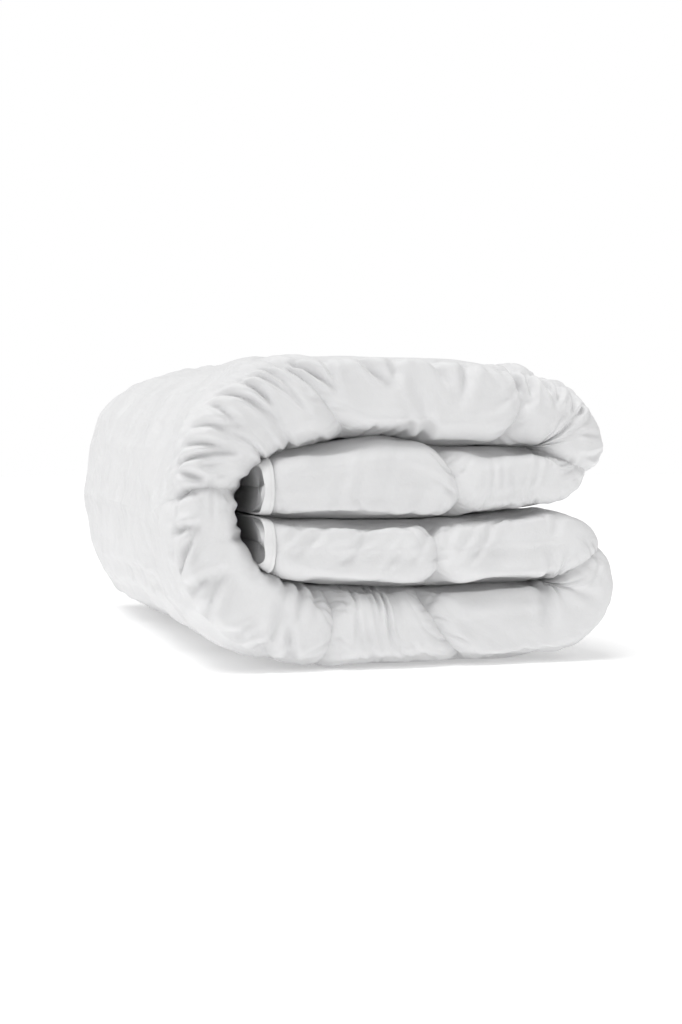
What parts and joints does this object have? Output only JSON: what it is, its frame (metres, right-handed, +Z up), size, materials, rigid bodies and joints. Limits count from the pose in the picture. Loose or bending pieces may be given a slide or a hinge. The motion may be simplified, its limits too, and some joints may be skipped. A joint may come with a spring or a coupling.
{
  "type": "folded duvet",
  "caption": "Thick white box-quilted feather-and-down duvet, folded in half, both ends turned in and closed like a book for storage.",
  "frame": {"origin": "on the floor, under the middle of the folded duvet's bounding box", "axes": "+Z up, +Y from the half fold at the front towards the hems at the back, spine of the book fold on the -X side, folds of the two flaps on the +X side"},
  "size_m": [0.7249, 1.1118, 0.48],
  "materials": {
    "cover_cotton": "matte",
    "inner_cotton": "matte",
    "down_fill": "matte",
    "baffle_tape": "matte",
    "bound_hem": "matte"
  },
  "bodies": {
    "lower_half": {"cover_panel_06": "cover_cotton", "cover_panel_07": "cover_cotton", "cover_panel_08": "cover_cotton", "cover_panel_09": "cover_cotton", "cover_panel_10": "cover_cotton", "down_fill_06": "down_fill", "down_fill_07": "down_fill", "down_fill_08": "down_fill", "down_fill_09": "down_fill", "down_fill_10": "down_fill", "baffle_wall_05": "baffle_tape", "baffle_wall_06": "baffle_tape", "baffle_wall_07": "baffle_tape", "baffle_wall_08": "baffle_tape", "baffle_wall_09": "baffle_tape", "reverse_cloth_lower": "inner_cotton", "flap_hem_lower": "bound_hem", "back_hem_lower_outer": "bound_hem", "back_hem_lower_inner": "bound_hem"},
    "upper_half": {"cover_panel_01": "cover_cotton", "cover_panel_02": "cover_cotton", "cover_panel_03": "cover_cotton", "cover_panel_04": "cover_cotton", "cover_panel_05": "cover_cotton", "down_fill_01": "down_fill", "down_fill_02": "down_fill", "down_fill_03": "down_fill", "down_fill_04": "down_fill", "down_fill_05": "down_fill", "baffle_wall_01": "baffle_tape", "baffle_wall_02": "baffle_tape", "baffle_wall_03": "baffle_tape", "baffle_wall_04": "baffle_tape", "reverse_cloth_upper": "inner_cotton", "flap_hem_upper": "bound_hem", "back_hem_upper_outer": "bound_hem", "back_hem_upper_inner": "bound_hem"}
  },
  "joints": [
    {"name": "book_fold", "type": "hinge", "parent": "lower_half", "child": "upper_half", "pos_m": [-0.36245, 0, 0.24], "axis": [0, -1, 0], "range_deg": [0, 180]}
  ]
}
